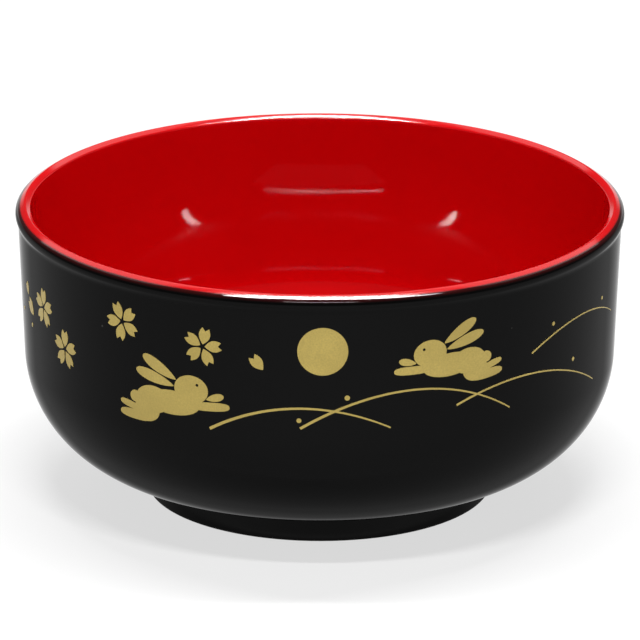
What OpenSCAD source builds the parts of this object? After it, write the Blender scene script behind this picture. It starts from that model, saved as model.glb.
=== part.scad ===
// Open lacquer soup bowl with a foot ring, black outside and red inside,
// with a gold print of rabbits leaping over grass under a full moon.
// Millimetres. +Z is up, the origin is the centre of the standing edge, and the print faces -Y.

/* [Body] */
// Outside diameter over the lip
rim_d = 121; // [110:0.5:135]
// Height from the standing edge to the top of the lip
bowl_h = 59.4; // [54:0.1:70]
// Thickness of the finished wall, with its coats
wall_t = 2.6; // [2:0.1:4]
// Thickness of the finished floor over the foot well, with its coats
floor_t = 4.3; // [3.4:0.1:5.4]
// Lean of the wall, inwards on its way down, in degrees
wall_lean = 2.3; // [0.5:0.1:6]
// Radius of the turn from the wall to the base, outside
corner_r = 24; // [18:0.5:30]
// Radius of the flatter sweep under the base, outside
base_r = 40.4; // [34:0.1:50]
// Angle below level where the turn passes into the flatter sweep, outside, in degrees
sweep_start = 68.5; // [60:0.5:76]
// Height of the lowest part of the base over the standing edge
base_h = 4.9; // [4:0.1:7]
// Radius of the turn from the wall to the floor, inside
inner_corner_r = 14.5; // [11:0.5:18]
// Radius of the flatter sweep of the floor, inside
inner_base_r = 33.5; // [28:0.5:38]
// Angle below level where the turn passes into the flatter sweep, inside, in degrees
inner_sweep_start = 48; // [42:1:60]

/* [Lip] */
// How far the lip stands out from the wall
lip_proud = 0.55; // [0.2:0.05:1]
// Slope of the face outside the crest, in degrees
lip_outer_slope = 30.5; // [24:0.5:38]
// Slope of the face inside the crest, in degrees
lip_inner_slope = 34; // [28:0.5:40]
// Radius of the two faces, which are almost flat
lip_face_r = 25; // [15:1:40]
// Length of the outer face, from the crest to the outer edge
lip_outer_face = 1.2; // [1:0.05:1.4]
// Length of the inner face, from the crest to the inner edge
lip_inner_face = 0.8; // [0.4:0.05:1]
// Radius of the lip's outer edge
lip_outer_r = 1.4; // [1:0.05:1.7]
// Radius of the lip's inner edge
lip_inner_r = 0.5; // [0.35:0.05:0.8]
// Radius of the hollow where the lip runs into the wall
lip_cove_r = 2.6; // [1.5:0.1:5]

/* [Foot ring] */
// Outside diameter at the standing edge
foot_d = 69.2; // [60:0.2:76]
// Flare of the ring's outside, outwards on its way down, in degrees
foot_flare = 11; // [0:0.5:20]
// Thickness of the ring at the standing edge
foot_t = 3.2; // [2.2:0.1:6]
// Radius of the two edges of the standing face
foot_edge_r = 0.5; // [0.35:0.05:0.9]
// Height of the foot well, from the standing edge to its ceiling
well_h = 4.7; // [4:0.1:5.4]
// Radius of the corner inside the foot well
well_corner_r = 1.2; // [0.5:0.1:2.5]

/* [Lacquer] */
// Thickness of each coat
coat_t = 0.2; // [0.1:0.05:0.3]
// How far down the lip's outer face the red runs
red_face = 0.95; // [0.4:0.05:1.1]
// Angle below level on the foot's edges where the coats stop, in degrees
bare_line = 45; // [20:1:80]

/* [Gold print] */
// Thickness of the ink
ink_t = 0.06; // [0.03:0.01:0.15]
// Diameter of the moon
moon_d = 9.8; // [6:0.1:14]
// Length of the left rabbit, from its hind toes to its forepaws
rabbit_l = 24.4; // [16:0.2:28]
// Diameter of a rabbit's eye
eye_d = 0.6; // [0.4:0.05:1]
// Length of a petal
petal_l = 3.45; // [2:0.05:4.4]
// Width of a petal
petal_w = 2.35; // [1.4:0.05:2.6]
// Space from the middle of a blossom to each petal
petal_gap = 0.5; // [0.3:0.05:0.8]
// Width of a blade of grass at its root
grass_w = 0.6; // [0.3:0.05:1]
// Width of a blade of grass at its tip
grass_tip_w = 0.3; // [0.2:0.05:0.6]
// Diameter of a drop of dew
dew_d = 0.95; // [0.5:0.05:1.5]

/* [Hidden] */
// Finish of curves: turn of each step on an arc, an oval and a leaf, and steps along a petal and a blade
arc_step = 4;
oval_step = 6;
leaf_step = 10;
petal_steps = 12;
blade_steps = 24;
// Points nearer to each other than this are one point
merge_gap = 0.001;
right_angle = 90;
half_turn = 180;
full_turn = 360;

// Places on the wall: azimuths are degrees to the right of the middle of the front,
// and heights are shares of the straight wall, from the base's turn up to the lip
moon_azimuth = 0.6;
moon_height_share = 0.724;

rabbit_azimuths = [-29, 25.1];
rabbit_height_shares = [0.298, 0.621];
rabbit_size_shares = [1, 0.943];
rabbit_tilts = [0, -4.5];
rabbit_faces_left = [0, 1];

blossom_azimuths = [-65.4, -57, -39.7, -22.2];
blossom_height_shares = [0.61, 0.383, 0.776, 0.704];
blossom_turns = [14, 16, 43, 6];
petals = 5;

loose_petal_azimuths = [-74.5, -71.4, -10.5];
loose_petal_height_shares = [0.6, 0.476, 0.569];
loose_petal_size_shares = [0.75, 1.13, 1.02];
loose_petal_turns = [117, 141, 129];

// Each blade bends from its root past the middle of its bow to its tip
blade_azimuths = [[-21, -4.3, 13.5], [-3.6, 18.3, 38.7], [26.6, 45, 65.6], [43.9, 59.5, 75.5]];
blade_height_shares = [[0.072, 0.466, 0.114], [0.124, 0.662, 0.124], [0.228, 0.523, 0.062], [0.497, 0.797, 0.476]];
blade_width_shares = [1, 0.9, 0.7, 0.55];

dew_azimuths = [-80, -72.7, -3.8, 5.2, 49.7, 56.8, 68.5];
dew_height_shares = [0.424, 0.383, 0.186, 0.362, 0.673, 0.321, 0.662];
dew_size_shares = [0.9, 0.9, 1, 1.1, 0.85, 0.85, 0.75];

// A rabbit as shares of its length: the ovals of its body, each with its middle along and up,
// half its length and half its height, in the order torso, head, back, thigh, lower and upper
// hind foot, tail and near foreleg
rabbit_oval_shares = [
    [0.012, -0.074, 0.242, 0.103],
    [0.182, 0.061, 0.147, 0.120],
    [-0.170, -0.080, 0.158, 0.115],
    [-0.228, -0.178, 0.120, 0.098],
    [-0.339, -0.243, 0.153, 0.040],
    [-0.394, -0.166, 0.098, 0.029],
    [-0.339, -0.086, 0.050, 0.050],
    [0.350, -0.062, 0.155, 0.037]
];
rabbit_oval_tilts = [0, 0, 0, 0, -2, -12, 0, 4];
// How square each oval is: 2 is an ellipse, and limbs have blunter ends
rabbit_oval_powers = [2, 2, 2, 2, 2.6, 2.6, 2, 2.8];
// Its leaf-shaped parts, which are the two ears and the far forepaw: the root along and up,
// the length and the width
leaf_shares = [
    [0.050, 0.126, 0.342, 0.098],
    [0.030, 0.069, 0.362, 0.096],
    [0.312, -0.004, 0.152, 0.064]
];
leaf_turns = [152.5, 166.5, 16];
eye_shares = [0.236, 0.106];

// A leaf's outline: how far its widest part lies towards the tip, and how sharp its root is
leaf_lean = 0.8;
leaf_root = 0.1;

// A petal's outline: how far its widest part lies towards the tip, how far apart its two points
// stand, and how deep the notch between them is
petal_lean = 0.9;
petal_point_share = 0.6;
petal_notch_share = 0.2;

// The lip: a crest, a face on either side of it and an edge at the end of each face, all tangent.
// The crest takes the width that the faces and the edges leave it
rim_r = rim_d / 2;
outer_top = right_angle - lip_outer_slope;
outer_end = outer_top - turn_along(lip_outer_face, lip_face_r);
paint_line = outer_top - turn_along(red_face, lip_face_r);
inner_top = right_angle + lip_inner_slope;
inner_end = inner_top + turn_along(lip_inner_face, lip_face_r);
lip_turn = acos((lip_outer_r + lip_cove_r * cos(wall_lean) - lip_proud) / (lip_outer_r + lip_cove_r));
outer_run = (lip_face_r - lip_outer_r) * along(outer_end) - lip_face_r * along(outer_top);
inner_run = (lip_face_r - lip_inner_r) * along(inner_end) - lip_face_r * along(inner_top);
edge_drop = (lip_outer_r + lip_cove_r) * sin(lip_turn) + (lip_inner_r - lip_cove_r) * sin(wall_lean);
lip_drop = inner_run[1] - outer_run[1] + edge_drop;
lip_width = lip_proud + wall_t / cos(wall_lean) - lip_drop * tan(wall_lean);
crest_width = lip_width - lip_outer_r - lip_inner_r * cos(wall_lean) - outer_run[0] + inner_run[0];
crest_spread = along(outer_top) - along(inner_top);
crest_r = crest_width / (crest_spread[0] - crest_spread[1] * tan(wall_lean));
lip_run = crest_r * along(outer_top) + outer_run;
crest_centre = [rim_r - lip_outer_r - lip_run[0], bowl_h - crest_r];
outer_face_centre = crest_centre + (crest_r - lip_face_r) * along(outer_top);
inner_face_centre = crest_centre + (crest_r - lip_face_r) * along(inner_top);
lip_centre = crest_centre + lip_run;
lip_inner_centre = crest_centre + crest_r * along(inner_top) + inner_run;

// The outside: from the lip the cove, the wall, the turn and the sweep, each tangent to the one before
cove_centre = lip_centre + (lip_outer_r + lip_cove_r) * along(-lip_turn);
wall_top = cove_centre - lip_cove_r * along(-wall_lean);
corner_centre = turn_centre(corner_r, base_r, sweep_start, base_h, 0);
base_centre = corner_centre - (base_r - corner_r) * along(-sweep_start);
wall_foot_z = corner_centre[1] + corner_r * sin(-wall_lean);
wall_foot = [wall_r(wall_foot_z), wall_foot_z];

// The inside follows the wall at its thickness, then has a turn and a sweep of its own
floor_z = well_h + floor_t;
inner_corner_centre = turn_centre(inner_corner_r, inner_base_r, inner_sweep_start, floor_z, wall_t);
inner_base_centre = inner_corner_centre - (inner_base_r - inner_corner_r) * along(-inner_sweep_start);

// The foot ring and the well inside it
foot_r = foot_d / 2;
well_r = foot_r - foot_t;
foot_edge_centre = [foot_side_r(foot_edge_r, foot_edge_r), foot_edge_r];
well_edge_centre = [well_r + foot_edge_r, foot_edge_r];
well_corner_centre = [well_r - well_corner_r, well_h - well_corner_r];

// Widest value of the unscaled leaf formula, which a leaf's width is measured by
leaf_peak = max([for (a = [0:leaf_step:half_turn]) leaf_spread(a)]);

BLACK = "#161617";
RED = "#c00410";
GOLD = "#b8a35c";
RESIN = "#2b2724";

function numbered(name, count) = [for (i = [1:count]) str(name, "_", i)];

// Unit vector at an angle above level, in the half-section of radius and height
function along(angle) = [cos(angle), sin(angle)];

// Turn of an arc of a length and a radius, in degrees
function turn_along(length, r) = length / r * half_turn / PI;

// Points on an arc, with both its ends
function arc(centre, r, from, to) =
    let (steps = max(2, ceil(abs(to - from) / arc_step)))
    [for (i = [0:steps]) centre + r * along(from + (to - from) * i / steps)];

function reversed(points) = [for (i = [len(points) - 1:-1:0]) points[i]];

// The same points without those that repeat the one before
function joined(points) =
    [for (i = [0:len(points) - 1]) if (i == 0 || norm(points[i] - points[i - 1]) > merge_gap) points[i]];

// Radius of the straight wall's outside at a height
function wall_r(z) = wall_top[0] - (wall_top[1] - z) * tan(wall_lean);

// Centre of the turn from the wall, set in by a depth, to a sweep that is level at a height
function turn_centre(r, sweep_r, start, low_z, depth) =
    let (centre_z = low_z + sweep_r - (sweep_r - r) * sin(start))
    let (foot_z = centre_z - r * sin(wall_lean))
    [wall_r(foot_z) - depth / cos(wall_lean), foot_z] - r * along(-wall_lean);

// Height on the straight wall at a share of it
function wall_z(share) = wall_foot_z + share * (wall_top[1] - wall_foot_z);

// Radius of the foot ring's outside at a height, set in by a depth
function foot_side_r(z, depth) = foot_r - z * tan(foot_flare) - depth / cos(foot_flare);

// Height at which the foot ring's outside meets the sweep of the base, both set in by a depth
function foot_meet_z(depth) =
    let (t = tan(foot_flare))
    let (reach = foot_side_r(0, depth) - base_centre[0])
    let (a = 1 + t * t)
    let (b = reach * t + base_centre[1])
    let (c = reach * reach + base_centre[1] * base_centre[1] - (base_r - depth) * (base_r - depth))
    (b - sqrt(b * b - a * c)) / a;

// Angle of that meeting, seen from the centre of the sweep
function foot_meet_angle(depth) =
    let (z = foot_meet_z(depth))
    atan2(z - base_centre[1], foot_side_r(z, depth) - base_centre[0]);

// Outside of the bowl from the paint line on the lip down to the foot's bare edge, set in by a depth
function outer_side(depth) = joined(concat(
    arc(outer_face_centre, lip_face_r - depth, paint_line, outer_end),
    arc(lip_centre, lip_outer_r - depth, outer_end, -lip_turn),
    arc(cove_centre, -lip_cove_r - depth, -lip_turn, -wall_lean),
    arc(corner_centre, corner_r - depth, -wall_lean, -sweep_start),
    arc(base_centre, base_r - depth, -sweep_start, foot_meet_angle(depth)),
    arc(foot_edge_centre, foot_edge_r - depth, foot_flare, -bare_line)
));

// Foot well from the bare edge up to the axis, set in by a depth
function well_side(depth) = joined(concat(
    arc(well_edge_centre, foot_edge_r - depth, bare_line - half_turn, -half_turn),
    arc(well_corner_centre, well_corner_r + depth, 0, right_angle),
    [[0, well_h + depth]]
));

// Inside of the bowl from the axis, over the lip, to the paint line, set in by a depth
function inner_side(depth) = joined(concat(
    [[0, floor_z - depth]],
    arc(inner_base_centre, inner_base_r + depth, -right_angle, -inner_sweep_start),
    arc(inner_corner_centre, inner_corner_r + depth, -inner_sweep_start, -wall_lean),
    arc(lip_inner_centre, lip_inner_r - depth, half_turn - wall_lean, inner_end),
    arc(inner_face_centre, lip_face_r - depth, inner_end, inner_top),
    arc(crest_centre, crest_r - depth, inner_top, outer_top),
    arc(outer_face_centre, lip_face_r - depth, outer_top, paint_line)
));

// Standing face between the bare edges of the foot
function bare_edge() = concat(
    arc(foot_edge_centre, foot_edge_r, -bare_line, -right_angle),
    arc(well_edge_centre, foot_edge_r, -right_angle, bare_line - half_turn)
);

// Unscaled half-width of a leaf, from its root at 0 degrees to its tip at 180
function leaf_spread(angle) = sin(angle) * pow((1 - cos(angle)) / 2, leaf_root);

// Outline of an oval about its middle, where a power over 2 fills out its corners
function oval(half_l, half_h, power) = [
    for (a = [0:oval_step:full_turn - oval_step])
    [half_l * sign(cos(a)) * pow(abs(cos(a)), 2 / power), half_h * sign(sin(a)) * pow(abs(sin(a)), 2 / power)]
];

// Outline of a leaf that grows along +X from its root
function leaf(length, width) = [
    for (a = [0:leaf_step:full_turn - leaf_step])
    let (side = a > half_turn ? -leaf_spread(full_turn - a) : leaf_spread(a))
    [length * pow((1 - cos(a)) / 2, leaf_lean), width / 2 * side / leaf_peak]
];

// Half-width of a petal at a share of its length
function petal_side(share) =
    petal_w / 2 * sin((half_turn - asin(petal_point_share)) * pow(share, petal_lean));

// Outline of a petal that grows along +X from its root to two points, with a notch between them
function petal() = concat(
    [for (k = [0:petal_steps]) [petal_l * k / petal_steps, -petal_side(k / petal_steps)]],
    [[petal_l * (1 - petal_notch_share), 0]],
    [for (k = [petal_steps:-1:1]) [petal_l * k / petal_steps, petal_side(k / petal_steps)]]
);

// Value at a share of the way along a bend through three values
function bend(row, share) =
    row[0] * pow(1 - share, 2) + row[1] * 2 * share * (1 - share) + row[2] * pow(share, 2);

function middle(row) = (row[0] + row[2]) / 2;

// Point on the middle line of a blade, in the plane that faces out at the blade's middle
function blade_point(i, share) =
    let (z = wall_z(bend(blade_height_shares[i], share)))
    [wall_r(z) * sin(bend(blade_azimuths[i], share) - middle(blade_azimuths[i])), z];

// Width of a blade at a share of the way from its root to its tip
function blade_w(i, share) = blade_width_shares[i] * (grass_w + (grass_tip_w - grass_w) * share);

// Points along one side of a blade, half its width to the left (1) or the right (-1) of the middle line
function blade_side(i, way) = [
    for (k = [0:blade_steps])
    let (before = blade_point(i, max(k - 1, 0) / blade_steps))
    let (after = blade_point(i, min(k + 1, blade_steps) / blade_steps))
    let (run = (after - before) / norm(after - before))
    blade_point(i, k / blade_steps) + way * blade_w(i, k / blade_steps) / 2 * [-run[1], run[0]]
];

// Moulded body with its lip and foot ring, bare only on the standing face
module bowl_core() {
    color(RESIN)
        rotate_extrude()
            polygon(joined(concat(inner_side(coat_t), outer_side(coat_t), bare_edge(), well_side(coat_t))));
}

// Coat between a finished side and the same side set in by the coat's thickness
module coat(finished, under) {
    rotate_extrude()
        polygon(concat(finished, reversed(under)));
}

module outer_black_lacquer() {
    color(BLACK)
        coat(outer_side(0), outer_side(coat_t));
}

module foot_well_black_lacquer() {
    color(BLACK)
        coat(well_side(0), well_side(coat_t));
}

module inner_red_lacquer() {
    color(RED)
        coat(inner_side(0), inner_side(coat_t));
}

// Layer of ink over the whole straight wall, which each motif takes its piece from
module ink_layer() {
    outwards = ink_t * along(-wall_lean);
    rotate_extrude()
        polygon([wall_foot, wall_foot + outwards, wall_top + outwards, wall_top]);
}

// Flat motif carried outwards from the axis, to face out at an azimuth
module facing(azimuth) {
    rotate([right_angle, 0, azimuth])
        linear_extrude(height = rim_d)
            children();
}

// Ink in the shape of a flat motif that faces out at an azimuth
module printed(azimuth) {
    color(GOLD)
        intersection() {
            ink_layer();
            facing(azimuth)
                children();
        }
}

module moon_print() {
    printed(moon_azimuth)
        translate([0, wall_z(moon_height_share)])
            circle(d = moon_d, $fn = 96);
}

// One leaping rabbit of a length, which faces right, about the middle of its length
module rabbit(length) {
    difference() {
        union() {
            for (i = [0:len(rabbit_oval_shares) - 1]) {
                part = length * rabbit_oval_shares[i];
                translate([part[0], part[1]])
                    rotate(rabbit_oval_tilts[i])
                        polygon(oval(part[2], part[3], rabbit_oval_powers[i]));
            }
            for (i = [0:len(leaf_shares) - 1]) {
                part = length * leaf_shares[i];
                translate([part[0], part[1]])
                    rotate(leaf_turns[i])
                        polygon(leaf(part[2], part[3]));
            }
        }
        translate(length * eye_shares)
            circle(d = eye_d, $fn = 32);
    }
}

module rabbit_print(i) {
    printed(rabbit_azimuths[i])
        translate([0, wall_z(rabbit_height_shares[i])])
            mirror([rabbit_faces_left[i], 0])
                rotate(rabbit_tilts[i])
                    rabbit(rabbit_l * rabbit_size_shares[i]);
}

module blossom_print(i) {
    printed(blossom_azimuths[i])
        translate([0, wall_z(blossom_height_shares[i])])
            for (k = [0:petals - 1])
                rotate(blossom_turns[i] + full_turn * k / petals)
                    translate([petal_gap, 0])
                        polygon(petal());
}

module loose_petal_print(i) {
    printed(loose_petal_azimuths[i])
        translate([0, wall_z(loose_petal_height_shares[i])])
            rotate(loose_petal_turns[i])
                scale(loose_petal_size_shares[i])
                    polygon(petal());
}

module blade(i) {
    polygon(concat(blade_side(i, 1), reversed(blade_side(i, -1))));
}

// A blade is cut where it passes behind the one before it
module grass_print(i) {
    color(GOLD)
        difference() {
            printed(middle(blade_azimuths[i]))
                blade(i);
            for (k = [0:1:i - 1])
                facing(middle(blade_azimuths[k]))
                    blade(k);
        }
}

module dew_print(i) {
    printed(dew_azimuths[i])
        translate([0, wall_z(dew_height_shares[i])])
            circle(d = dew_d * dew_size_shares[i], $fn = 32);
}

bowl_core();
outer_black_lacquer();
foot_well_black_lacquer();
inner_red_lacquer();
moon_print();
rabbit_print(0);  // left_rabbit_print
rabbit_print(1);  // right_rabbit_print
for (i = [0:len(blossom_azimuths) - 1])
    blossom_print(i);
for (i = [0:len(loose_petal_azimuths) - 1])
    loose_petal_print(i);
for (i = [0:len(blade_azimuths) - 1])
    grass_print(i);
for (i = [0:len(dew_azimuths) - 1])
    dew_print(i);
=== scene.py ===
"""Looks of an open lacquer soup bowl: black outside, red inside, printed in gold on its front.

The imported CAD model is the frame. The three lacquer coats and each gold print are built again
here as smooth surfaces, from the same lengths and in the same places, and the bare resin of the
standing face stays the CAD node. Lengths of the bowl and of its print are millimetres, those of
the studio are metres, and angles are degrees. Meshes are metres, with +Z up and the printed scene
facing -Y.
"""

import logging
from collections.abc import Iterable
from dataclasses import dataclass
from enum import Enum
from math import acos, asin, ceil, cos, degrees, pi, radians, sin, sqrt, tan

import bpy
import numpy as np
from mathutils import Matrix, Vector, geometry

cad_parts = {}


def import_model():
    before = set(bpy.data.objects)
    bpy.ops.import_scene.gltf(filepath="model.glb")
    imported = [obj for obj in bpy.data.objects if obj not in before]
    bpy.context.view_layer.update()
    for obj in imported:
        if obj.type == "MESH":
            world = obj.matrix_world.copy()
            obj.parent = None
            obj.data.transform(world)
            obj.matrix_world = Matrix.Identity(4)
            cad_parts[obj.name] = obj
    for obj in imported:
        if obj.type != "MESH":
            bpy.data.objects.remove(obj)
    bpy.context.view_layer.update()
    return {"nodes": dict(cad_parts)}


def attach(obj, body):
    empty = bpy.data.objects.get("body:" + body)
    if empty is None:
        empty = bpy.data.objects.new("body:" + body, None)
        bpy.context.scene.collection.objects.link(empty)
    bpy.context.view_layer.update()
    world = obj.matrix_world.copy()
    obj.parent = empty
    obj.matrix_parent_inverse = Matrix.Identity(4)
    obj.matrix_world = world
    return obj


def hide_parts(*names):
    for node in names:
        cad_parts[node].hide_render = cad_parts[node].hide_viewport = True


Material = bpy.types.Material
Tree = bpy.types.NodeTree
Socket = bpy.types.NodeSocket
Pair = tuple[float, float]
Triple = tuple[float, float, float]

LOG = logging.getLogger("soup_bowl")
BODY = "root"
MM = 0.001
WHITE = (1, 1, 1, 1)
# Inputs that hold the two ends of a range before and after it is mapped
ENDS = ("From Min", "From Max", "To Min", "To Max")
# Numbers of the two inputs of a colour mix, and of its output
MIX_A, MIX_B, MIX_OUT = 6, 7, 2
# Radians of a ring texture's wave for each unit of length, at a scale of 1
RING_PHASE = 20
# Greatest sag of an arc as a share of its radius, which keeps small arcs round
SAG_SHARE = 0.002
# Points nearer to each other than this are one point
SAME_POINT = 1e-5
# Points nearer to the axis than this lie on it
ON_AXIS = 1e-9
# Angle between faces over which their edge stays sharp
SHARP_ANGLE = 35
# Kind of fill that keeps the triangles inside the lines, and its smallest distance
FILL_INSIDE = 1
FILL_NEAR = 1e-6


def linear(code: str) -> tuple[float, float, float, float]:
    """Turns an sRGB hex colour into the linear colour that a shader takes, by the sRGB curve.

    Args:
        code: Six hex digits after a hash mark.

    Returns:
        Red, green, blue and an alpha of 1.
    """
    srgb = np.array([int(code[i : i + 2], 16) for i in (1, 3, 5)]) / 255
    rgb = np.where(srgb <= 0.04045, srgb / 12.92, ((srgb + 0.055) / 1.055) ** 2.4)
    return (*rgb.tolist(), 1.0)


def per_metre(size_mm: float) -> float:
    """Scale of a texture whose pattern repeats about every size_mm."""
    return 1 / (size_mm * MM)


def add_node(
    tree: Tree, kind: str, settings: dict | None = None, links: dict | None = None
) -> bpy.types.Node:
    """Adds a node to a tree, with its settings and its links.

    Args:
        tree: Tree that the node joins.
        kind: Blender's name for the type of node.
        settings: Values by the name of a property, or by the name or number of an input.
        links: Output sockets by the name or number of the input that each feeds.

    Returns:
        The new node.
    """
    node = tree.nodes.new(kind)
    for key, value in (settings or {}).items():
        if isinstance(key, str) and hasattr(node, key):
            setattr(node, key, value)
        else:
            node.inputs[key].default_value = value
    for key, source in (links or {}).items():
        tree.links.new(source, node.inputs[key])
    return node


def new_material(name: str) -> tuple[Material, Tree]:
    """Makes a material with an empty tree.

    Args:
        name: Name of the material.

    Returns:
        The material and its tree.
    """
    material = bpy.data.materials.new(name)
    material.use_nodes = True
    material.node_tree.nodes.clear()
    return material, material.node_tree


@dataclass(frozen=True)
class BlackLacquer:
    """Black urethane lacquer, sprayed and left glossy: a dark mirror with a faint orange peel.

    The mirror weakens from the first of its levels, where the coat faces the eye, to the second,
    where it turns away. It is strong on the lip, where the red overspray warms the paint line.
    """

    name: str = "black_sprayed_lacquer"
    colour: str = "#080808"
    overspray: str = "#3c0a0a"
    lint: str = "#5c5a56"
    ior: float = 1.5
    levels: Pair = (0.085, 0.0072)
    level_span: Pair = (0.07, 0.755)
    lip_level: float = 0.35
    lip_span_mm: Pair = (58.3, 58.9)
    overspray_span_mm: Pair = (58.2, 59.0)
    roughness: Pair = (0.05, 0.10)
    bloom_mm: float = 26.0
    bloom_detail: float = 3
    bloom_span: Pair = (0.35, 0.65)
    peel_mm: float = 2.6
    peel_detail: float = 1
    peel_height_mm: float = 0.0012
    lint_mm: float = 13.0
    lint_d_mm: float = 0.28
    lint_core_share: float = 0.3

    def material(self) -> Material:
        """Builds the lacquer: colour from overspray and lint, gloss from bloom, bump from peel.

        Returns:
            The material.
        """
        material, tree = new_material(self.name)
        place = add_node(tree, "ShaderNodeTexCoord").outputs["Object"]
        height = add_node(tree, "ShaderNodeSeparateXYZ", {}, {0: place}).outputs["Z"]
        turned_away = add_node(tree, "ShaderNodeLayerWeight").outputs["Facing"]
        speck = add_node(
            tree, "ShaderNodeTexVoronoi", {"Scale": per_metre(self.lint_mm)}, {"Vector": place}
        ).outputs["Distance"]
        patterns = (self.bloom_mm, self.bloom_detail), (self.peel_mm, self.peel_detail)
        bloom, peel = (
            add_node(
                tree,
                "ShaderNodeTexNoise",
                {"Scale": per_metre(size_mm), "Detail": detail},
                {"Vector": place},
            ).outputs[0]
            for size_mm, detail in patterns
        )
        speck_r = self.lint_d_mm / self.lint_mm
        ranges = (
            (height, np.array(self.overspray_span_mm) * MM, (0, 1)),
            (speck, (speck_r, self.lint_core_share * speck_r), (0, 1)),
            (bloom, self.bloom_span, self.roughness),
            (turned_away, self.level_span, self.levels),
            (height, np.array(self.lip_span_mm) * MM, (0, self.lip_level)),
        )
        sprayed, dusty, gloss, mirror, lip = (
            add_node(
                tree, "ShaderNodeMapRange", dict(zip(ENDS, (*span, *values))), {"Value": source}
            ).outputs[0]
            for source, span, values in ranges
        )
        warmed = add_node(
            tree,
            "ShaderNodeMix",
            {"data_type": "RGBA", MIX_A: linear(self.colour), MIX_B: linear(self.overspray)},
            {0: sprayed},
        ).outputs[MIX_OUT]
        colour = add_node(
            tree,
            "ShaderNodeMix",
            {"data_type": "RGBA", MIX_B: linear(self.lint)},
            {0: dusty, MIX_A: warmed},
        ).outputs[MIX_OUT]
        level = add_node(tree, "ShaderNodeMath", {"operation": "MAXIMUM"}, {0: mirror, 1: lip})
        bump = add_node(
            tree, "ShaderNodeBump", {"Distance": self.peel_height_mm * MM}, {"Height": peel}
        ).outputs[0]
        shader = add_node(
            tree,
            "ShaderNodeBsdfPrincipled",
            {"IOR": self.ior},
            {
                "Base Color": colour,
                "Roughness": gloss,
                "Specular IOR Level": level.outputs[0],
                "Normal": bump,
            },
        )
        add_node(tree, "ShaderNodeOutputMaterial", {}, {0: shader.outputs[0]})
        return material


@dataclass(frozen=True)
class RedLacquer:
    """Vermilion red urethane lacquer, sprayed and left glossy: a deep red under a clear mirror.

    It darkens over the outer edge of the lip, where the black was sprayed up to it. It is a little
    duller on the lip, where the coat is thin, and matt on the floor, which spoons and wiping rub.
    """

    name: str = "red_sprayed_lacquer"
    colour: str = "#c9030a"
    deep: str = "#bf0208"
    overspray: str = "#22080a"
    overspray_span_mm: Pair = (59.35, 59.75)
    ior: float = 1.5
    mirror_level: float = 0.5
    rubbed_level: float = 0.05
    smooth: float = 0.02
    dull: float = 0.04
    rubbed: float = 0.5
    rubbed_span_mm: Pair = (12.5, 15.0)
    thin: float = 0.12
    thin_span_mm: Pair = (57.2, 58.4)
    cloud_mm: float = 30.0
    cloud_detail: float = 3
    cloud_span: Pair = (0.35, 0.65)
    peel_mm: float = 2.6
    peel_detail: float = 1
    peel_height_mm: float = 0.0012

    def material(self) -> Material:
        """Builds the lacquer: colour from clouding and overspray, gloss from wear, bump from peel.

        Returns:
            The material.
        """
        material, tree = new_material(self.name)
        place = add_node(tree, "ShaderNodeTexCoord").outputs["Object"]
        height = add_node(tree, "ShaderNodeSeparateXYZ", {}, {0: place}).outputs["Z"]
        flat = add_node(
            tree, "ShaderNodeVectorMath", {"operation": "MULTIPLY", 1: (1, 1, 0)}, {0: place}
        ).outputs[0]
        radius = add_node(
            tree, "ShaderNodeVectorMath", {"operation": "LENGTH"}, {0: flat}
        ).outputs["Value"]
        patterns = (self.cloud_mm, self.cloud_detail), (self.peel_mm, self.peel_detail)
        cloud, peel = (
            add_node(
                tree,
                "ShaderNodeTexNoise",
                {"Scale": per_metre(size_mm), "Detail": detail},
                {"Vector": place},
            ).outputs[0]
            for size_mm, detail in patterns
        )
        floor = np.array(self.rubbed_span_mm) * MM
        ranges = (
            (radius, np.array(self.overspray_span_mm) * MM, (0, 1)),
            (cloud, self.cloud_span, (self.smooth, self.dull)),
            (height, floor, (self.rubbed, self.smooth)),
            (height, floor, (self.rubbed_level, self.mirror_level)),
            (height, np.array(self.thin_span_mm) * MM, (self.smooth, self.thin)),
        )
        sprayed, roughness, rubbed, mirror, thinned = (
            add_node(
                tree, "ShaderNodeMapRange", dict(zip(ENDS, (*span, *values))), {"Value": source}
            ).outputs[0]
            for source, span, values in ranges
        )
        for duller in (rubbed, thinned):
            roughness = add_node(
                tree, "ShaderNodeMath", {"operation": "MAXIMUM"}, {0: roughness, 1: duller}
            ).outputs[0]
        tint = add_node(
            tree,
            "ShaderNodeMix",
            {"data_type": "RGBA", MIX_A: linear(self.colour), MIX_B: linear(self.deep)},
            {0: cloud},
        ).outputs[MIX_OUT]
        colour = add_node(
            tree,
            "ShaderNodeMix",
            {"data_type": "RGBA", MIX_B: linear(self.overspray)},
            {0: sprayed, MIX_A: tint},
        ).outputs[MIX_OUT]
        bump = add_node(
            tree, "ShaderNodeBump", {"Distance": self.peel_height_mm * MM}, {"Height": peel}
        ).outputs[0]
        shader = add_node(
            tree,
            "ShaderNodeBsdfPrincipled",
            {"IOR": self.ior},
            {
                "Base Color": colour,
                "Roughness": roughness,
                "Specular IOR Level": mirror,
                "Normal": bump,
            },
        )
        add_node(tree, "ShaderNodeOutputMaterial", {}, {0: shader.outputs[0]})
        return material


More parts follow.
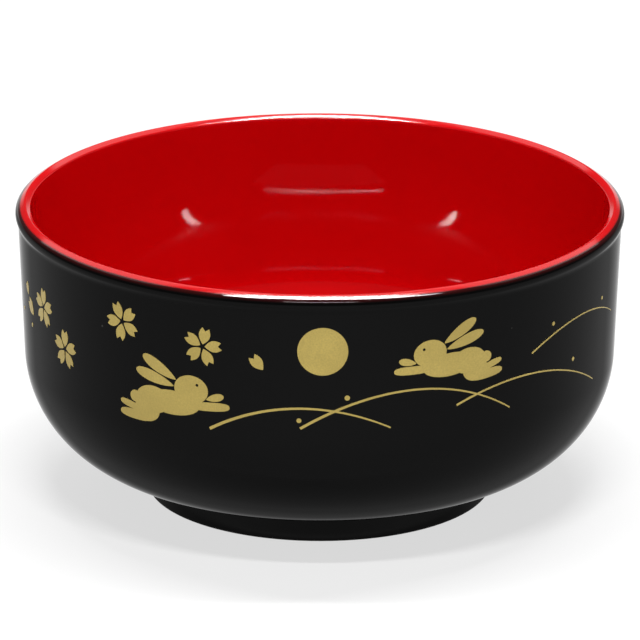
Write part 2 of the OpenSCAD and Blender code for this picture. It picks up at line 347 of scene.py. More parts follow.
@dataclass(frozen=True)
class GoldInk:
    """Pale gold screen-printing ink: brass flake in a clear binder, satin, with a fine grain."""

    name: str = "gold_printing_ink"
    colour: str = "#dcc36a"
    shade: str = "#c2aa59"
    metallic: float = 0.35
    roughness: Pair = (0.36, 0.50)
    # Real flake is finer, and its grain is drawn coarse enough to show
    grain_mm: float = 0.32
    grain_span: Pair = (0.3, 0.7)
    grain_height_mm: float = 0.004
    cloud_mm: float = 9.0
    mottle_span: Pair = (0.1, 0.45)
    noise_detail: float = 2

    def material(self) -> Material:
        """Builds the ink: colour from grain and clouding, gloss and bump from grain.

        Returns:
            The material.
        """
        material, tree = new_material(self.name)
        place = add_node(tree, "ShaderNodeTexCoord").outputs["Object"]
        grain, cloud = (
            add_node(
                tree,
                "ShaderNodeTexNoise",
                {"Scale": per_metre(size_mm), "Detail": self.noise_detail},
                {"Vector": place},
            ).outputs[0]
            for size_mm in (self.grain_mm, self.cloud_mm)
        )
        mottle = add_node(
            tree, "ShaderNodeMath", {"operation": "MULTIPLY"}, {0: grain, 1: cloud}
        ).outputs[0]
        ranges = (mottle, self.mottle_span, (0, 1)), (grain, self.grain_span, self.roughness)
        share, gloss = (
            add_node(
                tree, "ShaderNodeMapRange", dict(zip(ENDS, (*span, *values))), {"Value": source}
            ).outputs[0]
            for source, span, values in ranges
        )
        colour = add_node(
            tree,
            "ShaderNodeMix",
            {"data_type": "RGBA", MIX_A: linear(self.shade), MIX_B: linear(self.colour)},
            {0: share},
        ).outputs[MIX_OUT]
        bump = add_node(
            tree, "ShaderNodeBump", {"Distance": self.grain_height_mm * MM}, {"Height": grain}
        ).outputs[0]
        shader = add_node(
            tree,
            "ShaderNodeBsdfPrincipled",
            {"Metallic": self.metallic},
            {"Base Color": colour, "Roughness": gloss, "Normal": bump},
        )
        add_node(tree, "ShaderNodeOutputMaterial", {}, {0: shader.outputs[0]})
        return material


@dataclass(frozen=True)
class BareResin:
    """Wood-flour resin, compression moulded and sanded where it stands: dark brown and matt."""

    name: str = "moulded_wood_flour_resin"
    colour: str = "#2d2621"
    pale: str = "#4a3f36"
    roughness: float = 0.62
    # Real flour and sanding marks are finer, and both are drawn coarse enough to show
    flour_mm: float = 0.5
    flour_detail: float = 4
    sanding_mm: float = 0.35
    sanding_sway: float = 1.5
    sanding_height_mm: float = 0.01

    def material(self) -> Material:
        """Builds the resin: colour from wood flour, bump from sanding rings about the axis.

        Returns:
            The material.
        """
        material, tree = new_material(self.name)
        place = add_node(tree, "ShaderNodeTexCoord").outputs["Object"]
        flour = add_node(
            tree,
            "ShaderNodeTexNoise",
            {"Scale": per_metre(self.flour_mm), "Detail": self.flour_detail},
            {"Vector": place},
        ).outputs[0]
        colour = add_node(
            tree,
            "ShaderNodeMix",
            {"data_type": "RGBA", MIX_A: linear(self.colour), MIX_B: linear(self.pale)},
            {0: flour},
        ).outputs[MIX_OUT]
        rings = add_node(
            tree,
            "ShaderNodeTexWave",
            {
                "wave_type": "RINGS",
                "rings_direction": "Z",
                "Scale": per_metre(self.sanding_mm) / RING_PHASE,
                "Distortion": self.sanding_sway,
            },
            {"Vector": place},
        ).outputs["Fac"]
        bump = add_node(
            tree, "ShaderNodeBump", {"Distance": self.sanding_height_mm * MM}, {"Height": rings}
        ).outputs[0]
        shader = add_node(
            tree,
            "ShaderNodeBsdfPrincipled",
            {"Roughness": self.roughness},
            {"Base Color": colour, "Normal": bump},
        )
        add_node(tree, "ShaderNodeOutputMaterial", {}, {0: shader.outputs[0]})
        return material


def along(angle: float | np.ndarray) -> np.ndarray:
    """Unit vector (cos a, sin a) at an angle, such as one above level in the half-section."""
    turn = np.radians(angle)
    return np.stack([np.cos(turn), np.sin(turn)], axis=-1)


def arc(centre: np.ndarray, r: float, start: float, end: float, sag: float) -> np.ndarray:
    """Points on an arc, centre + r (cos a, sin a), near enough to each other for a sag.

    Args:
        centre: Centre of the arc.
        r: Radius, negative for the far side of the centre.
        start: First angle.
        end: Last angle.
        sag: Greatest distance from the arc to a chord.

    Returns:
        One row for each point, with both ends.
    """
    step = 2 * degrees(acos(1 - min(sag / abs(r), SAG_SHARE)))
    return centre + r * along(np.linspace(start, end, max(3, ceil(abs(end - start) / step) + 1)))


def joined(parts: list[np.ndarray], gap: float) -> np.ndarray:
    """Joins lines into one, without repeated points, and splits its straight runs.

    Args:
        parts: Lines in order, each of one row for each point.
        gap: Longest step that stays whole.

    Returns:
        The points of the whole line.
    """
    line = np.vstack(parts)
    step = np.linalg.norm(np.diff(line, axis=0), axis=1)
    line = line[np.concatenate([[True], step > SAME_POINT])]
    run = np.diff(line, axis=0)
    pieces = np.maximum(1, np.ceil(np.linalg.norm(run, axis=1) / gap)).astype(int)
    index = np.arange(pieces.sum()) - np.repeat(np.cumsum(pieces) - pieces, pieces)
    share = index / np.repeat(pieces, pieces)
    split = np.repeat(line[:-1], pieces, axis=0) + np.repeat(run, pieces, axis=0) * share[:, None]
    return np.vstack([split, line[-1:]])


def revolved(profile: np.ndarray, segments: int) -> tuple[np.ndarray, list[np.ndarray]]:
    """Carries a profile of radius and height round the Z axis: (r cos t, r sin t, z).

    A profile that starts and ends on the axis is closed there by one point at each end, and any
    other is closed by joining its last point to its first.

    Args:
        profile: One row of radius and height for each point.
        segments: Steps in the whole turn.

    Returns:
        The points, and blocks of faces with equally many corners.
    """
    poles = profile[[0, -1], 0].max() < ON_AXIS
    rows = profile[1:-1] if poles else profile
    turn = 2 * pi * np.arange(segments) / segments
    points = np.stack(
        [
            rows[:, :1] * np.cos(turn),
            rows[:, :1] * np.sin(turn),
            np.broadcast_to(rows[:, 1:], (len(rows), segments)),
        ],
        axis=-1,
    ).reshape(-1, 3)
    grid = np.arange(len(rows) * segments).reshape(len(rows), segments)
    ring = np.concatenate([grid, grid[:, :1]], axis=1)
    if not poles:
        ring = np.concatenate([ring, ring[:1]])
    quads = np.stack([ring[:-1, :-1], ring[1:, :-1], ring[1:, 1:], ring[:-1, 1:]], axis=-1)
    faces = [quads.reshape(-1, 4)]
    if poles:
        first = np.full(segments, len(points))
        tips = np.array([[0, 0, profile[0, 1]], [0, 0, profile[-1, 1]]])
        points = np.vstack([points, tips])
        faces.append(np.stack([first, ring[0, :-1], ring[0, 1:]], axis=-1))
        faces.append(np.stack([ring[-1, :-1], first + 1, ring[-1, 1:]], axis=-1))
    return points, faces


def add_piece(
    name: str, points: np.ndarray, faces: list[np.ndarray], material: Material
) -> bpy.types.Object:
    """Puts a surface into the scene as one smooth-shaded piece at the origin.

    Args:
        name: Name of the piece.
        points: One row for each point, in millimetres.
        faces: Blocks of faces with equally many corners.
        material: Finish of the piece.

    Returns:
        The new object.
    """
    corner_points = np.concatenate([block.ravel() for block in faces])
    sizes = np.concatenate([np.full(len(block), block.shape[1]) for block in faces])
    mesh = bpy.data.meshes.new(name)
    mesh.vertices.add(len(points))
    mesh.vertices.foreach_set("co", (points * MM).astype(np.float32).ravel())
    mesh.loops.add(len(corner_points))
    mesh.loops.foreach_set("vertex_index", corner_points.astype(np.int32))
    mesh.polygons.add(len(sizes))
    mesh.polygons.foreach_set("loop_start", (np.cumsum(sizes) - sizes).astype(np.int32))
    mesh.update(calc_edges=True)
    mesh.shade_smooth()
    mesh.set_sharp_from_angle(angle=radians(SHARP_ANGLE))
    mesh.materials.append(material)
    piece = bpy.data.objects.new(name, mesh)
    bpy.context.scene.collection.objects.link(piece)
    LOG.info("%s: %d points, %d faces", name, len(points), len(sizes))
    return piece


@dataclass
class LacqueredBowl:
    """The bowl's body: its half-section, the coats over it, and the wall that the print lies on."""

    rim_d: float = 121
    bowl_h: float = 59.4
    wall_t: float = 2.6
    floor_t: float = 4.3
    wall_lean: float = 2.3
    corner_r: float = 24
    base_r: float = 40.4
    sweep_start: float = 68.5
    base_h: float = 4.9
    inner_corner_r: float = 14.5
    inner_base_r: float = 33.5
    inner_sweep_start: float = 48
    lip_proud: float = 0.55
    lip_outer_slope: float = 30.5
    lip_inner_slope: float = 34
    lip_face_r: float = 25
    lip_outer_face: float = 1.2
    lip_red_face: float = 0.95
    lip_inner_face: float = 0.8
    lip_outer_r: float = 1.4
    lip_inner_r: float = 0.5
    lip_cove_r: float = 2.6
    foot_d: float = 69.2
    foot_flare: float = 11
    foot_t: float = 3.2
    foot_edge_r: float = 0.5
    well_h: float = 4.7
    well_corner_r: float = 1.2
    coat_t: float = 0.2
    bare_line: float = 45
    segments: int = 240
    fine_sag: float = 0.002
    hidden_sag: float = 0.04
    row_gap: float = 1.5

    def __post_init__(self) -> None:
        """Works out the arcs' centres, each arc tangent to the one before, as the CAD does."""
        self.place_lip()
        reach = self.lip_outer_r + self.lip_cove_r
        self.cove_centre = self.lip_centre + reach * along(-self.lip_turn)
        self.wall_top = self.cove_centre - self.lip_cove_r * along(-self.wall_lean)
        self.floor_z = self.well_h + self.floor_t
        self.corner_centre, self.base_centre = self.turn_centres(
            self.corner_r, self.base_r, self.sweep_start, self.base_h, 0
        )
        self.inner_corner_centre, self.inner_base_centre = self.turn_centres(
            self.inner_corner_r,
            self.inner_base_r,
            self.inner_sweep_start,
            self.floor_z,
            self.wall_t,
        )
        self.wall_foot_z = self.corner_centre[1] - self.corner_r * sin(radians(self.wall_lean))
        edge = self.foot_edge_r
        well_r = self.foot_d / 2 - self.foot_t
        self.foot_edge_centre = np.array([self.foot_side_r(edge, edge), edge])
        self.well_edge_centre = np.array([well_r + edge, edge])
        self.well_corner_centre = np.array([well_r, self.well_h]) - self.well_corner_r

    def place_lip(self) -> None:
        """Works out the lip's arcs: a crest in the width that its two faces and edges leave."""
        lean = radians(self.wall_lean)
        face_r, edge_r, inner_r = self.lip_face_r, self.lip_outer_r, self.lip_inner_r
        cove_r = self.lip_cove_r
        reach = edge_r + cove_r
        self.outer_top = 90 - self.lip_outer_slope
        self.outer_end = self.outer_top - degrees(self.lip_outer_face / face_r)
        self.paint_line = self.outer_top - degrees(self.lip_red_face / face_r)
        self.inner_top = 90 + self.lip_inner_slope
        self.inner_end = self.inner_top + degrees(self.lip_inner_face / face_r)
        self.lip_turn = degrees(acos((edge_r + cove_r * cos(lean) - self.lip_proud) / reach))
        outer_run = (face_r - edge_r) * along(self.outer_end) - face_r * along(self.outer_top)
        inner_run = (face_r - inner_r) * along(self.inner_end) - face_r * along(self.inner_top)
        drop = reach * sin(radians(self.lip_turn)) + (inner_r - cove_r) * sin(lean)
        drop += inner_run[1] - outer_run[1]
        width = self.lip_proud + self.wall_t / cos(lean) - drop * tan(lean)
        crest_width = width - edge_r - inner_r * cos(lean) - outer_run[0] + inner_run[0]
        spread = along(self.outer_top) - along(self.inner_top)
        self.crest_r = crest_width / (spread[0] - spread[1] * tan(lean))
        run = self.crest_r * along(self.outer_top) + outer_run
        crest_x = self.rim_d / 2 - edge_r - run[0]
        self.crest_centre = np.array([crest_x, self.bowl_h - self.crest_r])
        self.outer_face_centre = self.crest_centre + (self.crest_r - face_r) * along(self.outer_top)
        self.inner_face_centre = self.crest_centre + (self.crest_r - face_r) * along(self.inner_top)
        self.lip_centre = self.crest_centre + run
        self.lip_inner_centre = self.crest_centre + self.crest_r * along(self.inner_top) + inner_run

    def turn_centres(
        self, corner_r: float, base_r: float, sweep_start: float, low_z: float, inset: float
    ) -> tuple[np.ndarray, np.ndarray]:
        """Centres of the two arcs that turn a side of the wall into its base, tangent to both.

        Args:
            corner_r: Radius of the arc at the wall.
            base_r: Radius of the arc at the base.
            sweep_start: Angle below level at which the second arc takes over from the first.
            low_z: Height at which the second arc is level.
            inset: How far that side of the wall lies inside its outside.

        Returns:
            The centre of the first arc and that of the second.
        """
        drop = base_r - corner_r
        corner_z = low_z + base_r - drop * sin(radians(sweep_start))
        foot_z = corner_z - corner_r * sin(radians(self.wall_lean))
        foot_r = self.wall_r(foot_z) - inset / cos(radians(self.wall_lean))
        corner = np.array([foot_r, foot_z]) - corner_r * along(-self.wall_lean)
        return corner, corner - drop * along(-sweep_start)

    def wall_r(self, z: float | np.ndarray) -> float | np.ndarray:
        """Radius of the straight wall's outside at a height."""
        return self.wall_top[0] - (self.wall_top[1] - z) * tan(radians(self.wall_lean))

    def wall_z(self, share: float | np.ndarray) -> float | np.ndarray:
        """Height on the straight wall at a share of it, from the base's turn up to the lip."""
        return self.wall_foot_z + share * (self.wall_top[1] - self.wall_foot_z)

    def foot_side_r(self, z: float, depth: float) -> float:
        """Radius of the foot ring's outside at a height, set in by a depth."""
        flare = radians(self.foot_flare)
        return self.foot_d / 2 - z * tan(flare) - depth / cos(flare)

    def foot_meet_angle(self, depth: float) -> float:
        """Angle, seen from the centre of the base's sweep, where the foot ring's outside meets it.

        Args:
            depth: How far both are set in.

        Returns:
            The angle above level, which is negative.
        """
        t = tan(radians(self.foot_flare))
        reach = self.foot_side_r(0, depth) - self.base_centre[0]
        height = self.base_centre[1]
        a = 1 + t * t
        b = reach * t + height
        c = reach**2 + height**2 - (self.base_r - depth) ** 2
        z = (b - sqrt(b * b - a * c)) / a
        return degrees(np.arctan2(z - height, self.foot_side_r(z, depth) - self.base_centre[0]))

    def outer_side(self, depth: float, sag: float) -> np.ndarray:
        """Outside from the paint line on the lip down to the foot's bare edge, set in by a depth.

        Args:
            depth: How far the side is set in.
            sag: Greatest distance from its arcs to a chord.

        Returns:
            Points of radius and height.
        """
        meet = self.foot_meet_angle(depth)
        arcs = (
            (self.outer_face_centre, self.lip_face_r - depth, self.paint_line, self.outer_end),
            (self.lip_centre, self.lip_outer_r - depth, self.outer_end, -self.lip_turn),
            (self.cove_centre, -self.lip_cove_r - depth, -self.lip_turn, -self.wall_lean),
            (self.corner_centre, self.corner_r - depth, -self.wall_lean, -self.sweep_start),
            (self.base_centre, self.base_r - depth, -self.sweep_start, meet),
            (self.foot_edge_centre, self.foot_edge_r - depth, self.foot_flare, -self.bare_line),
        )
        return joined([arc(*row, sag) for row in arcs], self.row_gap)

    def well_side(self, depth: float, sag: float) -> np.ndarray:
        """Foot well from the bare edge up to the axis, set in by a depth.

        Args:
            depth: How far the side is set in.
            sag: Greatest distance from its arcs to a chord.

        Returns:
            Points of radius and height.
        """
        arcs = (
            (self.well_edge_centre, self.foot_edge_r - depth, self.bare_line - 180, -180),
            (self.well_corner_centre, self.well_corner_r + depth, 0, 90),
        )
        end = np.array([[0, self.well_h + depth]])
        return joined([arc(*row, sag) for row in arcs] + [end], self.row_gap)

    def inner_side(self, depth: float, sag: float) -> np.ndarray:
        """Inside from the axis, over the lip, to the paint line, set in by a depth.

        Args:
            depth: How far the side is set in.
            sag: Greatest distance from its arcs to a chord.

        Returns:
            Points of radius and height.
        """
        lean, sweep = self.wall_lean, -self.inner_sweep_start
        face_r = self.lip_face_r - depth
        arcs = (
            (self.inner_base_centre, self.inner_base_r + depth, -90, sweep),
            (self.inner_corner_centre, self.inner_corner_r + depth, sweep, -lean),
            (self.lip_inner_centre, self.lip_inner_r - depth, 180 - lean, self.inner_end),
            (self.inner_face_centre, face_r, self.inner_end, self.inner_top),
            (self.crest_centre, self.crest_r - depth, self.inner_top, self.outer_top),
            (self.outer_face_centre, face_r, self.outer_top, self.paint_line),
        )
        start = np.array([[0, self.floor_z - depth]])
        return joined([start] + [arc(*row, sag) for row in arcs], self.row_gap)

    def build(self, black: Material, red: Material) -> None:
        """Builds the three coats, each a closed shell between a side and the same side set in.

        Args:
            black: Finish of the outside and of the foot well.
            red: Finish of the inside.
        """
        coats = (
            ("black_outside", "outer_black_lacquer", "black_lacquer", self.outer_side, black),
            ("black_foot_well", "foot_well_black_lacquer", "black_lacquer", self.well_side, black),
            ("red_inside", "inner_red_lacquer", "red_lacquer", self.inner_side, red),
        )
        for name, node, slot, side, finish in coats:
            face = side(0, self.fine_sag)
            back = side(self.coat_t, self.hidden_sag)
            loop = np.vstack([face, back[::-1]])
            if face[-1, 0] < ON_AXIS:
                loop = np.vstack([back[::-1], face])
            piece = add_piece(name, *revolved(loop, self.segments), finish)
            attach(piece, BODY)
            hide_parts(node)


class Facing(Enum):
    """Way a rabbit leaps, as the sign of its length along the wall."""

    RIGHT = 1
    LEFT = -1


@dataclass(frozen=True)
class Spot:
    """Place of a motif on the wall, with its turn and its size as a share of the plain motif."""

    azimuth: float
    height_share: float
    turn: float = 0
    size_share: float = 1


@dataclass(frozen=True)
class Leaper:
    """One rabbit: the CAD node of its print, its place on the wall and the way it leaps."""

    node: str
    spot: Spot
    facing: Facing


@dataclass(frozen=True)
class Oval:
    """Oval of a rabbit, in shares of its length: middle, half length and half height.

    A power of 2 makes an ellipse, and a greater one makes blunter ends.
    """

    middle: Pair
    half_l: float
    half_h: float
    tilt: float = 0
    power: float = 2


@dataclass(frozen=True)
class Leaf:
    """Leaf-shaped part of a rabbit, in shares of its length: root, length and width."""

    root: Pair
    length: float
    width: float
    turn: float


@dataclass(frozen=True)
class Blade:
    """Blade of grass by its root, the middle of its bow and its tip, and its share of the width."""

    azimuths: Triple
    height_shares: Triple
    width_share: float


def turned(points: np.ndarray, angle: float, centre: Pair = (0, 0)) -> np.ndarray:
    """Turns flat points about the origin and then moves the origin to a centre.

    Args:
        points: One row for each point.
        angle: Turn, anticlockwise.
        centre: Where the origin goes.

    Returns:
        The moved points.
    """
    c, s = along(angle)
    return points @ np.array([[c, s], [-s, c]]) + np.array(centre)


@dataclass
class GoldScene:
    """The gold print on the front of the wall: a moon, leaping rabbits, blossoms, grass and dew.

    Azimuths are degrees to the right of the middle of the front, and height shares are of the
    straight wall.
    """

    bowl: LacqueredBowl
    ink: Material
    ink_t: float = 0.06
    moon_d: float = 9.8
    rabbit_l: float = 24.4
    eye_d: float = 0.6
    petal_l: float = 3.45
    petal_w: float = 2.35
    petal_gap: float = 0.5
    petals: int = 5
    grass_w: float = 0.6
    grass_tip_w: float = 0.3
    dew_d: float = 0.95
    moon: Spot = Spot(0.6, 0.724)
    blossoms: tuple[Spot, ...] = (
        Spot(-65.4, 0.61, 14),
        Spot(-57, 0.383, 16),
        Spot(-39.7, 0.776, 43),
        Spot(-22.2, 0.704, 6),
    )
    loose_petals: tuple[Spot, ...] = (
        Spot(-74.5, 0.6, 117, 0.75),
        Spot(-71.4, 0.476, 141, 1.13),
        Spot(-10.5, 0.569, 129, 1.02),
    )
    blades: tuple[Blade, ...] = (
        Blade((-21, -4.3, 13.5), (0.072, 0.466, 0.114), 1),
        Blade((-3.6, 18.3, 38.7), (0.124, 0.662, 0.124), 0.9),
        Blade((26.6, 45, 65.6), (0.228, 0.523, 0.062), 0.7),
        Blade((43.9, 59.5, 75.5), (0.497, 0.797, 0.476), 0.55),
    )
    dew: tuple[Spot, ...] = (
        Spot(-80, 0.424, size_share=0.9),
        Spot(-72.7, 0.383, size_share=0.9),
        Spot(-3.8, 0.186),
        Spot(5.2, 0.362, size_share=1.1),
        Spot(49.7, 0.673, size_share=0.85),
        Spot(56.8, 0.321, size_share=0.85),
        Spot(68.5, 0.662, size_share=0.75),
    )
    rabbits: tuple[Leaper, ...] = (
        Leaper("left_rabbit_print", Spot(-29, 0.298), Facing.RIGHT),
        Leaper("right_rabbit_print", Spot(25.1, 0.621, -4.5, 0.943), Facing.LEFT),
    )
    # Torso, head, back, thigh, lower and upper hind foot, tail and near foreleg
    ovals: tuple[Oval, ...] = (
        Oval((0.012, -0.074), 0.242, 0.103),
        Oval((0.182, 0.061), 0.147, 0.120),
        Oval((-0.170, -0.080), 0.158, 0.115),
        Oval((-0.228, -0.178), 0.120, 0.098),
        Oval((-0.339, -0.243), 0.153, 0.040, -2, 2.6),
        Oval((-0.394, -0.166), 0.098, 0.029, -12, 2.6),
        Oval((-0.339, -0.086), 0.050, 0.050),
        Oval((0.350, -0.062), 0.155, 0.037, 4, 2.8),
    )
    # The two ears and the far forepaw
    leaves: tuple[Leaf, ...] = (
        Leaf((0.050, 0.126), 0.342, 0.098, 152.5),
        Leaf((0.030, 0.069), 0.362, 0.096, 166.5),
        Leaf((0.312, -0.004), 0.152, 0.064, 16),
    )
    eye: Pair = (0.236, 0.106)
    leaf_lean: float = 0.8
    leaf_root: float = 0.1
    petal_lean: float = 0.9
    petal_point: float = 0.6
    petal_notch: float = 0.2
    oval_step: float = 4
    leaf_step: float = 5
    petal_steps: int = 24
    blade_steps: int = 48
    fill_gap: float = 0.6

    def oval(self, half_l: float, half_h: float, power: float = 2) -> np.ndarray:
        """Oval outline: (a sgn(cos t)|cos t|^(2/p), b sgn(sin t)|sin t|^(2/p)), fuller as p grows.

        Args:
            half_l: Half its length.
            half_h: Half its height.
            power: 2 for an ellipse.

        Returns:
            Points in order, anticlockwise.
        """
        way = along(np.arange(0, 360, self.oval_step))
        return np.sign(way) * np.abs(way) ** (2 / power) * np.array([half_l, half_h])

    def disc(self, diameter: float) -> np.ndarray:
        """Outline of a disc about the origin: (d / 2 cos t, d / 2 sin t)."""
        return self.oval(diameter / 2, diameter / 2)

    def leaf(self, length: float, width: float) -> np.ndarray:
        """Leaf outline along +X: x = length h^lean, y as sin t h^root, with h = (1 - cos t) / 2.

        Args:
            length: From its root to its tip.
            width: At its widest, which y is scaled to.

        Returns:
            Points in order, clockwise.
        """
        t = np.radians(np.arange(0, 360, self.leaf_step))
        half = (1 - np.cos(t)) / 2
        spread = np.sin(t) * half**self.leaf_root
        return np.stack([length * half**self.leaf_lean, width / 2 * spread / spread.max()], axis=-1)

    def petal(self) -> np.ndarray:
        """Petal outline along +X: y = width / 2 sin(sweep s^lean) at a share s of its length.

        It runs from its root to two points, with a notch between them.

        Returns:
            Points in order, clockwise.
        """
        share = np.arange(self.petal_steps + 1) / self.petal_steps
        sweep = pi - asin(self.petal_point)
        side = self.petal_w / 2 * np.sin(sweep * share**self.petal_lean)
        upper = np.stack([self.petal_l * share, side], axis=-1)
        notch = np.array([[self.petal_l * (1 - self.petal_notch), 0]])
        return np.concatenate([upper, notch, upper[:0:-1] * [1, -1]])

    def on_wall(self, flat: np.ndarray, azimuth: float, lift: float) -> np.ndarray:
        """Carries flat points straight out on to the wall: (u, z) to (u, sqrt(r(z)^2 - u^2), z).

        Args:
            flat: Rows of the distance to the right of the middle, and the height.
            azimuth: Where the middle faces, to the right of the bowl's front.
            lift: Distance over the wall.

        Returns:
            Points in space.
        """
        u, z = flat.T
        r = self.bowl.wall_r(z) + lift / cos(radians(self.bowl.wall_lean))
        out = np.sqrt(r**2 - u**2)
        c, s = along(azimuth)
        return np.stack([u * c + out * s, u * s - out * c, z], axis=-1)

    def filled(
        self, outlines: list[np.ndarray], cuts: list[np.ndarray]
    ) -> tuple[np.ndarray, np.ndarray]:
        """Fills the union of flat outlines, less some cuts, with triangles over an even lattice.

        Args:
            outlines: Closed lines of the motif.
            cuts: Closed lines of what is left bare.

        Returns:
            The points, and the triangles, which run anticlockwise.
        """
        lines = outlines + cuts
        ahead = [np.roll(line, -1, axis=0) for line in lines]
        area = [np.sum(a[:, 0] * b[:, 1] - a[:, 1] * b[:, 0]) for a, b in zip(lines, ahead)]
        lines = [line if size > 0 else line[::-1] for line, size in zip(lines, area)]
        ends = np.cumsum([len(line) for line in lines])
        loops = [list(range(end - len(line), end)) for line, end in zip(lines, ends.tolist())]
        rim = np.vstack(lines)
        low, high = rim.min(axis=0), rim.max(axis=0)
        ticks = [np.arange(a, b, self.fill_gap) for a, b in zip(low, high)]
        lattice = np.stack(np.meshgrid(*ticks), axis=-1).reshape(-1, 2)
        points, _, triangles, _, _, owners = geometry.delaunay_2d_cdt(
            np.vstack([rim, lattice]).tolist(), [], loops, FILL_INSIDE, FILL_NEAR, True
        )
        inside = [bool(owner) and max(owner) < len(outlines) for owner in owners]
        used, corners_used = np.unique(np.array(triangles)[np.array(inside)], return_inverse=True)
        return np.array([tuple(point) for point in points])[used], corners_used.reshape(-1, 3)

    def print_ink(
        self, name: str, outlines: list[np.ndarray], cuts: list[np.ndarray], azimuth: float
    ) -> None:
        """Lays a motif on the wall as one closed layer of ink, with a face, a back and an edge.

        Args:
            name: CAD node that the layer stands for.
            outlines: Closed flat lines of the motif.
            cuts: Closed flat lines of what is left bare.
            azimuth: Where the motif's middle faces.
        """
        flat, face = self.filled(outlines, cuts)
        count = len(flat)
        points = np.vstack([self.on_wall(flat, azimuth, lift) for lift in (self.ink_t, 0)])
        sides = np.vstack([face[:, [0, 1]], face[:, [1, 2]], face[:, [2, 0]]])
        alone = ~np.isin(sides @ [count, 1], sides @ [1, count])
        a, b = sides[alone].T
        edge = np.stack([b, a, a + count, b + count], axis=-1)
        faces = [face, face[:, ::-1] + count, edge]
        piece = add_piece(name.replace("_print", "_ink"), points, faces, self.ink)
        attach(piece, BODY)
        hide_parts(name)

    def blade_line(self, blade: Blade) -> tuple[np.ndarray, float]:
        """Outline of a blade: a quadratic bend in azimuth and height, thinner towards its tip.

        Args:
            blade: Which blade.

        Returns:
            The outline in the plane that faces out at the blade's middle, and the azimuth of that.
        """
        azimuths, shares = np.array(blade.azimuths), np.array(blade.height_shares)
        middle = (azimuths[0] + azimuths[2]) / 2
        t = np.linspace(0, 1, self.blade_steps + 1)[:, None]
        weights = np.hstack([(1 - t) ** 2, 2 * t * (1 - t), t**2])
        z = self.bowl.wall_z(weights @ shares)
        turn = np.radians(weights @ azimuths - middle)
        line = np.stack([self.bowl.wall_r(z) * np.sin(turn), z], axis=-1)
        run = np.gradient(line, axis=0)
        run /= np.linalg.norm(run, axis=1, keepdims=True)
        width = blade.width_share * (self.grass_w + (self.grass_tip_w - self.grass_w) * t)
        side = width / 2 * np.stack([-run[:, 1], run[:, 0]], axis=-1)
        return np.vstack([line + side, (line - side)[::-1]]), middle

    def seen_from(self, flat: np.ndarray, azimuth: float, other: float) -> np.ndarray:
        """The same points of the wall in another plane: u = r sin(asin(u / r) + the turn to it).

        Args:
            flat: Points in the plane of the first azimuth.
            azimuth: Where that plane faces.
            other: Where the new plane faces.

        Returns:
            Points in the new plane.
        """
        r = self.bowl.wall_r(flat[:, 1])
        turn = np.arcsin(flat[:, 0] / r) + radians(azimuth - other)
        return np.stack([r * np.sin(turn), flat[:, 1]], axis=-1)

    def rabbit(self, leaper: Leaper) -> tuple[list[np.ndarray], list[np.ndarray]]:
        """Outlines of a leaping rabbit: the ovals and the leaf-shaped parts of it, and its eye.

        Args:
            leaper: Which rabbit.

        Returns:
            The outlines of its parts, and that of its eye, in the plane that faces out at it.
        """
        spot = leaper.spot
        length = self.rabbit_l * spot.size_share
        flat = [
            (self.oval(length * p.half_l, length * p.half_h, p.power), p.tilt, p.middle)
            for p in self.ovals
        ]
        flat += [
            (self.leaf(length * p.length, length * p.width), p.turn, p.root)
            for p in self.leaves
        ]
        flat.append((self.disc(self.eye_d), 0, self.eye))
        lift = np.array([0, self.bowl.wall_z(spot.height_share)])
        way = np.array([leaper.facing.value, 1])
        placed = [
            turned(turned(line, turn, length * np.array(centre)), spot.turn) * way + lift
            for line, turn, centre in flat
        ]
        return placed[:-1], placed[-1:]

    def build(self) -> None:
        """Lays every motif of the scene on the wall."""
        wall_z = self.bowl.wall_z
        full = self.disc(self.moon_d) + [0, wall_z(self.moon.height_share)]
        self.print_ink("moon_print", [full], [], self.moon.azimuth)
        for leaper in self.rabbits:
            self.print_ink(leaper.node, *self.rabbit(leaper), leaper.spot.azimuth)
        petal = self.petal()
        for i, spot in enumerate(self.blossoms, 1):
            centre = (0, wall_z(spot.height_share))
            turns = spot.turn + 360 * np.arange(self.petals) / self.petals
            ring = [turned(petal + [self.petal_gap, 0], turn, centre) for turn in turns]
            self.print_ink(f"blossom_print_{i}", ring, [], spot.azimuth)
        for i, spot in enumerate(self.loose_petals, 1):
            fallen = turned(petal * spot.size_share, spot.turn, (0, wall_z(spot.height_share)))
            self.print_ink(f"loose_petal_print_{i}", [fallen], [], spot.azimuth)
        earlier = []
        for i, blade in enumerate(self.blades, 1):
            line, middle = self.blade_line(blade)
            cuts = [self.seen_from(other, azimuth, middle) for other, azimuth in earlier]
            self.print_ink(f"grass_print_{i}", [line], cuts, middle)
            earlier.append((line, middle))
        for i, spot in enumerate(self.dew, 1):
            drop = self.disc(self.dew_d) * spot.size_share + [0, wall_z(spot.height_share)]
            self.print_ink(f"dew_print_{i}", [drop], [], spot.azimuth)


@dataclass(frozen=True)
class Softbox:
    """A rectangular studio lamp, whose level is how many times white its face is."""

    name: str
    place: Triple
    aim: Triple
    size: Pair
    level: float

    def build(self) -> None:
        """Hangs the lamp in its place, turned to its aim."""
        lamp = bpy.data.lights.new(self.name, "AREA")
        lamp.shape = "RECTANGLE"
        lamp.size, lamp.size_y = self.size
        lamp.energy = pi * lamp.size * lamp.size_y * self.level
        holder = bpy.data.objects.new(self.name, lamp)
        bpy.context.scene.collection.objects.link(holder)
        turn = (Vector(self.place) - Vector(self.aim)).to_track_quat("Z", "Y")
        holder.matrix_world = Matrix.Translation(self.place) @ turn.to_matrix().to_4x4()


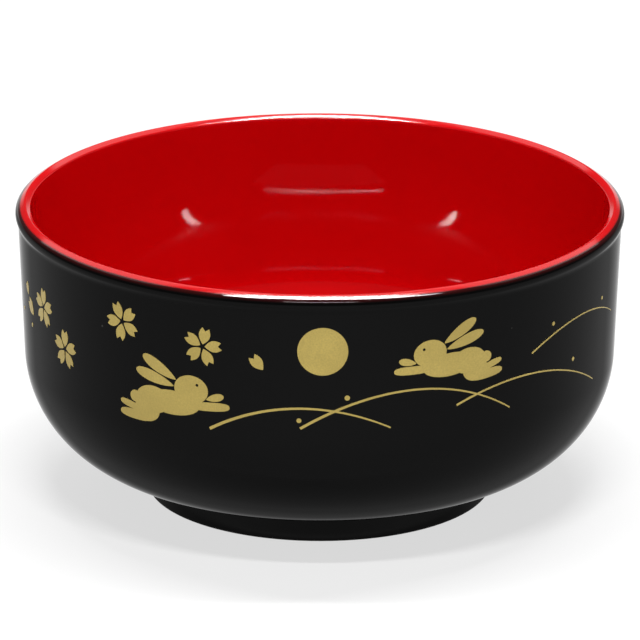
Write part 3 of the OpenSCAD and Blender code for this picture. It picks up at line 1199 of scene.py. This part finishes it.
@dataclass
class Studio:
    """A pale floor, soft lamps, a surround that is pale low down, and the photograph's camera."""

    floor_colour: str = "#8c8c8c"
    floor_r: float = 3.0
    floor_segments: int = 96
    lift: float = 0.68
    room_level: float = 0.08
    horizon_level: float = 1.0
    horizon_rise: float = 0.16
    camera_place: Triple = (0.00008, -1.4320, 0.5222)
    camera_pitch: float = 18.811
    camera_roll: float = 0.168
    lens_mm: float = 426.04
    sensor_mm: float = 36
    lamps: tuple[Softbox, ...] = (
        Softbox("rear_strip", (0.05, 0.09, 1.10), (0.05, 0, 0.03), (0.74, 0.045), 108),
        Softbox("fore_strip", (0, -0.62, 1.10), (0, 0, 0.03), (0.42, 0.04), 168),
        Softbox("rear_panel", (0, 0.80, 1.10), (0, 0, 0.03), (1.8, 1.0), 1.2),
    )

    def ray_share(self, tree: Tree) -> Socket:
        """Share of 1 for rays from the camera, a mirror or glass, and 0 for those that give light.

        Args:
            tree: Tree that its nodes join.

        Returns:
            The share.
        """
        rays = add_node(tree, "ShaderNodeLightPath").outputs
        share = rays["Is Camera Ray"]
        for kind in ("Is Glossy Ray", "Is Transmission Ray"):
            share = add_node(
                tree, "ShaderNodeMath", {"operation": "MAXIMUM"}, {0: share, 1: rays[kind]}
            ).outputs[0]
        return share

    def build_floor(self) -> None:
        """Lays a round pale floor, whose white is lifted where it is seen, and keeps the shadow."""
        material, tree = new_material("pale_floor")
        seen = self.ray_share(tree)
        lift = add_node(tree, "ShaderNodeMath", {"operation": "MULTIPLY", 1: self.lift}, {0: seen})
        shader = add_node(
            tree,
            "ShaderNodeBsdfPrincipled",
            {
                "Base Color": linear(self.floor_colour),
                "Roughness": 1,
                "Specular IOR Level": 0,
                "Emission Color": WHITE,
            },
            {"Emission Strength": lift.outputs[0]},
        )
        add_node(tree, "ShaderNodeOutputMaterial", {}, {0: shader.outputs[0]})
        index = np.arange(self.floor_segments)
        turn = 2 * pi * index / self.floor_segments
        rim = np.stack([np.cos(turn), np.sin(turn), 0 * turn], axis=-1) * self.floor_r / MM
        floor = add_piece("floor", rim, [index[None]], material)

    def build_surround(self) -> None:
        """Sets the world: pale near the level of the table, and a dim room higher up."""
        world = bpy.data.worlds.new("surround")
        bpy.context.scene.world = world
        world.use_nodes = True
        tree = world.node_tree
        tree.nodes.clear()
        way = add_node(tree, "ShaderNodeTexCoord").outputs["Generated"]
        rise = add_node(tree, "ShaderNodeSeparateXYZ", {}, {0: way}).outputs["Z"]
        level = add_node(
            tree,
            "ShaderNodeMapRange",
            dict(zip(ENDS, (0, self.horizon_rise, self.horizon_level, self.room_level))),
            {"Value": rise},
        ).outputs[0]
        shine = add_node(tree, "ShaderNodeBackground", {"Color": WHITE}, {"Strength": level})
        add_node(tree, "ShaderNodeOutputWorld", {}, {0: shine.outputs[0]})

    def build_camera(self) -> None:
        """Sets the camera at the photograph's place, pitch and slight roll, with a long lens."""
        camera = bpy.data.cameras.new("camera")
        camera.lens = self.lens_mm
        camera.sensor_width = self.sensor_mm
        holder = bpy.data.objects.new("camera", camera)
        bpy.context.scene.collection.objects.link(holder)
        tilt = Matrix.Rotation(radians(90 - self.camera_pitch), 4, "X")
        roll = Matrix.Rotation(radians(self.camera_roll), 4, "Z")
        holder.matrix_world = Matrix.Translation(self.camera_place) @ tilt @ roll
        bpy.context.scene.camera = holder

    def build(self) -> None:
        """Builds the floor, the surround, the lamps and the camera."""
        self.build_floor()
        self.build_surround()
        for lamp in self.lamps:
            lamp.build()
        self.build_camera()
        bpy.context.scene.view_settings.view_transform = "Standard"


def main() -> None:
    """Loads the frame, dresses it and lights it."""
    logging.basicConfig(level=logging.INFO, format="%(name)s: %(message)s")
    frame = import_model()
    core = frame["nodes"]["bowl_core"]
    core.data.materials.clear()
    core.data.materials.append(BareResin().material())
    bowl = LacqueredBowl()
    bowl.build(BlackLacquer().material(), RedLacquer().material())
    GoldScene(bowl, GoldInk().material()).build()
    Studio().build()


if __name__ == "__main__":
    main()
